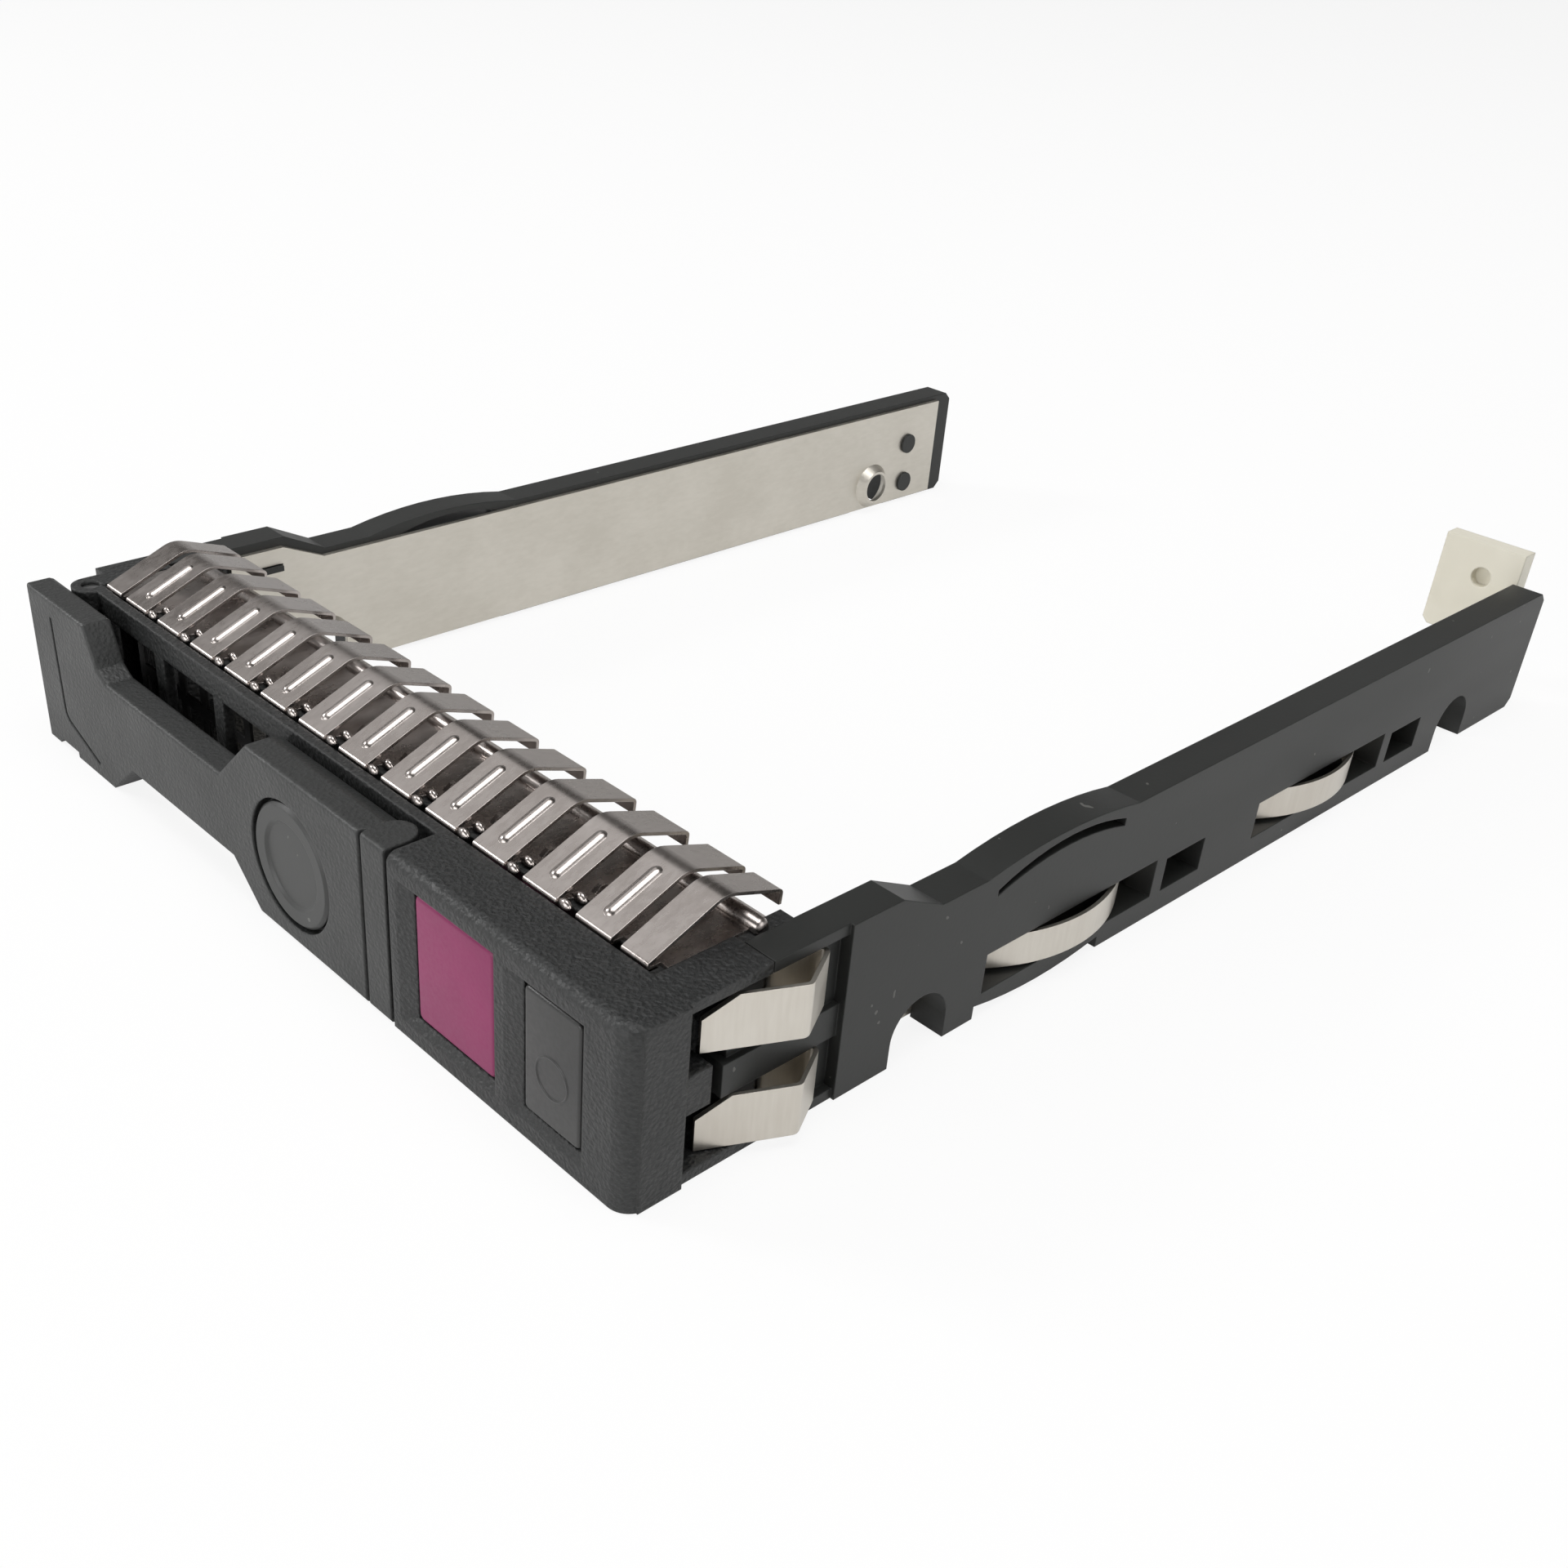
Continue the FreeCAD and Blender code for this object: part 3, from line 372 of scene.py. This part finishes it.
def railPlastic(name, specular):
    # polished mould: faint flow marks and a few pale specks
    finish = Finish(name)
    fine = finish.noise(smoothBlack["fine"])
    flow = finish.noise(smoothBlack["flow"], finish.stretched(smoothBlack["flowStretch"]))
    paleFlecks = finish.noise(smoothBlack["specks"]).above(smoothBlack["speckLimit"])
    tone = finish.between(finish.remap(flow, spread["wide"]), smoothBlack["dark"], smoothBlack["light"])
    colour = finish.between(paleFlecks * smoothBlack["speckShare"], tone, smoothBlack["paleFlecks"])
    roughness = finish.remap(flow, spread["wide"], smoothBlack["rough"])
    normal = finish.bumped(fine, smoothBlack["strength"], smoothBlack["depth"],
                           finish.softEdge(smoothBlack["edge"]))
    return finish.surface({"Base Color": colour, "Roughness": roughness, "Normal": normal,
                           "Specular IOR Level": specular})


rolledSheet = {
    "lines": (2600.0, 2.0, 0.5), "lineShare": 0.35, "drift": (130.0, 3.0, 0.5), "driftShare": 0.65,
    "depth": 0.00001, "edge": 0.00005,
}


def sheetMetal(name, dark, light, rough, along, strength=0.08):
    # rolled sheet: a satin face with fine lines along one direction and a slow drift of tone
    finish = Finish(name)
    lines = finish.noise(rolledSheet["lines"], finish.stretched(along))
    drift = finish.noise(rolledSheet["drift"])
    mixed = lines * rolledSheet["lineShare"] + drift * rolledSheet["driftShare"]
    tone = finish.between(finish.remap(mixed, spread["narrow"]), dark, light)
    roughness = finish.remap(mixed, spread["narrow"], rough)
    normal = finish.bumped(lines, strength, rolledSheet["depth"], finish.softEdge(rolledSheet["edge"]))
    return finish.surface({"Base Color": tone, "Roughness": roughness, "Normal": normal, "Metallic": 1.0})


moulded = {
    "fine": (3000.0, 2.0, 0.5), "drift": (200.0, 2.0, 0.5), "strength": 0.3,
    "smoother": 0.04, "rougher": 0.05,
}


def colouredPlastic(name, deep, pale, roughness, grainDepth, edge, specular=0.5):
    finish = Finish(name)
    fine = finish.noise(moulded["fine"])
    drift = finish.noise(moulded["drift"])
    tone = finish.between(finish.remap(drift, spread["wide"]), deep, pale)
    gloss = finish.remap(fine, spread["wide"],
                         (roughness - moulded["smoother"], roughness + moulded["rougher"]))
    normal = finish.bumped(fine, moulded["strength"], grainDepth, finish.softEdge(edge))
    return finish.surface({"Base Color": tone, "Roughness": gloss, "Normal": normal,
                           "Specular IOR Level": specular})


finishes = {
    "bezelGrain": grainedPlastic("bezelGrain", 0.00018),
    # the lever's copy is lifted lighter all over: painted light
    "leverGrain": grainedPlastic("leverGrain", 0.00009, sheenLift=0.45),
    "railBlack": railPlastic("railBlack", 0.42),
    "medallionBlack": railPlastic("medallionBlack", 0.7),
    "magenta": colouredPlastic("magenta", rgb(0.20, 0.003, 0.074), rgb(0.23, 0.005, 0.086),
                               roughness=0.38, grainDepth=0.00002, edge=0.0002),
    "smoked": colouredPlastic("smoked", rgb(0.012, 0.012, 0.012), rgb(0.020, 0.020, 0.019),
                              roughness=0.36, grainDepth=0.000015, edge=0.00015, specular=0.6),
    "ivory": colouredPlastic("ivory", rgb(0.70, 0.67, 0.57), rgb(0.76, 0.73, 0.63),
                             roughness=0.38, grainDepth=0.00001, edge=0.0002),
    "shieldSteel": sheetMetal("shieldSteel", rgb(0.37, 0.335, 0.315), rgb(0.50, 0.46, 0.44),
                              rough=(0.24, 0.33), along=(1.0, 0.5, 0.5)),
    # nearly black: painted shade, so the void behind the lever's waist reads black
    "screenPaintedShade": sheetMetal("screenPaintedShade", rgb(0.03, 0.03, 0.03), rgb(0.05, 0.05, 0.05),
                              rough=(0.5, 0.6), along=(0.2, 1.0, 1.0)),
    "pinSteel": sheetMetal("pinSteel", rgb(0.42, 0.42, 0.42), rgb(0.55, 0.55, 0.55),
                           rough=(0.25, 0.35), along=(1.0, 1.0, 0.1)),
    "plateSteel": sheetMetal("plateSteel", rgb(0.58, 0.55, 0.49), rgb(0.66, 0.63, 0.57),
                             rough=(0.40, 0.48), along=(1.0, 0.3, 1.0)),
    "contactNickel": sheetMetal("contactNickel", rgb(0.60, 0.56, 0.50), rgb(0.68, 0.645, 0.585),
                                rough=(0.32, 0.40), along=(1.0, 1.0, 0.1), strength=0.15),
}
wears = {
    "bezel_frame": "bezelGrain", "ejector_lever": "leverGrain", "lever_medallion": "medallionBlack",
    "release_button": "magenta", "status_window": "smoked", "light_pipe": "ivory",
    "shield_strip": "shieldSteel", "shield_screen": "screenPaintedShade", "lever_pivot_pin": "pinSteel",
    "lever_spring": "pinSteel", "button_spring": "pinSteel",
    "right_rail": "railBlack", "left_rail": "railBlack",
    "right_side_plate": "plateSteel", "left_side_plate": "plateSteel",
}


def dressNodes():
    # the contacts and bows, which aren't listed, are nickel
    for name, piece in nodes.items():
        finish = finishes[wears.get(name, "contactNickel")]
        for place in range(len(piece.material_slots)):
            piece.material_slots[place].material = finish


dressNodes()
print("finishes set")


def addPiece(name, made, finish, body="tray"):
    mesh = smoothMesh(name, made)
    mesh.materials.append(finishes[finish])
    piece = addObject(name, mesh)
    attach(piece, body)
    return piece


def addBox(made, low, high):
    # a box between two corners, ready to have its edges rounded
    for vert in bmesh.ops.create_cube(made, size=1.0)["verts"]:
        for axis in range(3):
            vert.co[axis] = (low, high)[vert.co[axis] > 0][axis]


def roundEdges(made, edges, radius, segments):
    bmesh.ops.bevel(made, geom=edges, offset=radius, segments=segments, profile=0.5, affect="EDGES")


def turnOutward(made):
    bmesh.ops.recalc_face_normals(made, faces=made.faces[:])


# the strip's base sheet lies this much below the bezel's top
sheetDrop = 0.00005
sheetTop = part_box("bezel_frame")[1][2] - sheetDrop

barb = {
    "fingers": 12, "pitch": 0.00541, "fingerWidth": 0.0034,
    "length": 0.0016, "width": 0.00066, "height": 0.00056, "sunk": 0.00002,
    "beyond": 0.00042,             # from the finger's edge to the barb's middle
    "rows": (0.00033, 0.0016),     # behind the fingers' feet
    "tipShare": 0.02, "lean": 1.6, "fullness": 0.6,
    "along": 10, "across": 8,
}


def addBarbs():
    # two teardrop barbs in each gap, reaching to the right: the front one from the finger, ahead of
    # the base sheet, and the rear one from the sheet, over the notch in its front edge
    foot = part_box("shield_strip")[0][1]
    made = bmesh.new()
    for finger in range(barb["fingers"] - 1):
        edge = (finger - (barb["fingers"] - 1) / 2) * barb["pitch"] + barb["fingerWidth"] / 2
        for row in barb["rows"]:
            addTeardrop(made, edge + barb["beyond"], foot + row)
    addPiece("strip_barbs", made, "shieldSteel")


def addTeardrop(made, centre, depth):
    rows = []
    for step in range(barb["along"] + 1):
        share = barb["tipShare"] + (1 - 2 * barb["tipShare"]) * step / barb["along"]
        # blunt at the free end, drawn out at the root
        swell = math.sin(math.pi * share ** barb["lean"]) ** barb["fullness"]
        place = centre + (share - 0.5) * barb["length"]
        angles = [math.pi * turn / barb["across"] for turn in range(barb["across"] + 1)]
        rows.append(addRow(made, [(place, depth + 0.5 * barb["width"] * swell * math.cos(angle),
                                   sheetTop - barb["sunk"] + barb["height"] * swell * math.sin(angle))
                                  for angle in angles]))
    joinRows(made, rows, closed=False)
    made.faces.new(rows[0][::-1])
    made.faces.new(rows[-1])


pressSpring = {"turns": 7, "perTurn": 28, "around": 8, "wire": 0.00025, "travel": 0.0015}


def addPressSpring():
    # the button's return spring, between its seat and the button
    low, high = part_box("button_spring")
    centre = middle(low, high)
    wire = pressSpring["wire"]
    radius = (high[0] - low[0]) / 2 - wire
    length = high[1] - low[1] - 2 * wire
    steps = pressSpring["turns"] * pressSpring["perTurn"]
    rise = length / (math.tau * pressSpring["turns"])
    made = bmesh.new()
    rows = []
    for step in range(steps + 1):
        angle = math.tau * step / pressSpring["perTurn"]
        outward = Vector((math.cos(angle), 0.0, math.sin(angle)))
        tangent = Vector((-radius * math.sin(angle), rise, radius * math.cos(angle))).normalized()
        side = tangent.cross(outward)
        along = low[1] + wire + length * step / steps
        core = Vector((centre[0], along, centre[2])) + radius * outward
        rows.append(addRow(made, [core + wire * (math.cos(turn) * outward + math.sin(turn) * side)
                                  for turn in circleAngles(pressSpring["around"])]))
    joinRows(made, rows)
    made.faces.new(rows[0][::-1])
    made.faces.new(rows[-1])
    turnOutward(made)
    piece = addPiece("press_spring", made, "pinSteel")
    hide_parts("button_spring")
    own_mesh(piece)


stripRoll = {
    "radius": 0.00062, "depth": 0.0134, "aboveSheet": 0.00012,     # depth from the object's front
    "overhang": 0.0007, "endRound": 0.0003, "endShare": 0.72, "turns": 28,
}


def addStripRoll():
    # rolled rear edge of the base sheet, seen through the gaps and past the end finger
    low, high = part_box("shield_strip")
    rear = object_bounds()[0][1] + stripRoll["depth"]
    height = sheetTop + stripRoll["aboveSheet"]
    left, right = low[0], high[0] + stripRoll["overhang"]
    made = bmesh.new()
    rows = []
    for place, share in ((left, stripRoll["endShare"]), (left + stripRoll["endRound"], 1.0),
                         (right - stripRoll["endRound"], 1.0), (right, stripRoll["endShare"])):
        radius = share * stripRoll["radius"]
        rows.append(addRow(made, [(place, rear + radius * math.cos(angle), height + radius * math.sin(angle))
                                  for angle in circleAngles(stripRoll["turns"])]))
    joinRows(made, rows)
    made.faces.new(rows[0])
    made.faces.new(rows[-1][::-1])
    turnOutward(made)
    addPiece("strip_roll", made, "shieldSteel")


hingeGuard = {
    "left": 0.00025, "right": 0.00015, "front": 0.00185, "rear": 0.00315,     # from the pivot pin
    "ear": 0.0017, "round": 0.00012, "segments": 3,
}


def addHingeGuard():
    # web between the hinge ears that closes the bezel's side behind the knuckle
    pin = middle(*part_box("lever_pivot_pin"))
    low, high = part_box("bezel_frame")
    made = bmesh.new()
    addBox(made,
           (pin[0] - hingeGuard["left"], pin[1] + hingeGuard["front"], low[2] + hingeGuard["ear"]),
           (pin[0] + hingeGuard["right"], pin[1] + hingeGuard["rear"], high[2] - hingeGuard["ear"]))
    roundEdges(made, made.edges[:], hingeGuard["round"], hingeGuard["segments"])
    addPiece("hinge_guard", made, "bezelGrain")


facing = {"thick": 0.00062, "cornerShare": 1.6, "segments": 5, "frontDepth": 0.0008, "level": 1e-7}
windowFacing = {"inset": 0.00017, "proud": 0.00026, "round": 0.00026}
buttonFacing = {"inset": 0.00011, "proud": 0.00022, "round": 0.00036}


def addFacing(name, low, high, form, finish, body):
    # moulded face of a pushed or clear part, with its corners and rim rounded over
    front = low[1] - form["proud"]
    rear = front + facing["thick"]
    made = bmesh.new()
    addBox(made, (low[0] + form["inset"], front, low[2] + form["inset"]),
           (high[0] - form["inset"], rear, high[2] - form["inset"]))
    upright = [edge for edge in made.edges
               if abs(edge.verts[0].co[1] - edge.verts[1].co[1]) > facing["thick"] / 2]
    roundEdges(made, upright, form["round"] * facing["cornerShare"], facing["segments"])
    rim = [edge for edge in made.edges
           if all(vert.co[1] < front + facing["level"] for vert in edge.verts)]
    roundEdges(made, rim, form["round"], facing["segments"])
    addPiece(name, made, finish, body)


def buttonFront():
    # corners of the button's front, without the arms behind it
    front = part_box("release_button")[0][1]
    near = [vert.co for vert in nodes["release_button"].data.vertices
            if vert.co[1] < front + facing["frontDepth"]]
    return [[pick(point[axis] for point in near) for axis in range(3)] for pick in (min, max)]


def addFacings():
    low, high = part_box("status_window")
    addFacing("window_face", low, high, windowFacing, "smoked", "tray")
    low, high = buttonFront()
    addFacing("button_face", low, high, buttonFacing, "magenta", "button")


windowRing = {
    "radius": 0.00155, "width": 0.00022, "rise": 0.00006, "lower": 0.0009, "steps": 72,
    "profile": ((-0.5, 0.0), (-0.25, 1.0), (0.25, 1.0), (0.5, 0.0)),     # shares of the width and the rise
}


def addWindowRing():
    # plain ring moulded on the status window
    low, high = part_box("status_window")
    centre = middle(low, high)
    front = low[1] - windowFacing["proud"]
    height = centre[2] - windowRing["lower"]
    made = bmesh.new()
    rows = []
    for across, rise in windowRing["profile"]:
        reach = windowRing["radius"] + across * windowRing["width"]
        depth = front - rise * windowRing["rise"]
        rows.append(addRow(made, [(centre[0] + reach * math.cos(angle), depth,
                                   height + reach * math.sin(angle))
                                  for angle in circleAngles(windowRing["steps"])]))
    joinRows(made, rows)
    turnOutward(made)
    addPiece("window_ring", made, "smoked")


addBarbs()
addPressSpring()
addStripRoll()
addHingeGuard()
addFacings()
addWindowRing()
print("small pieces added")
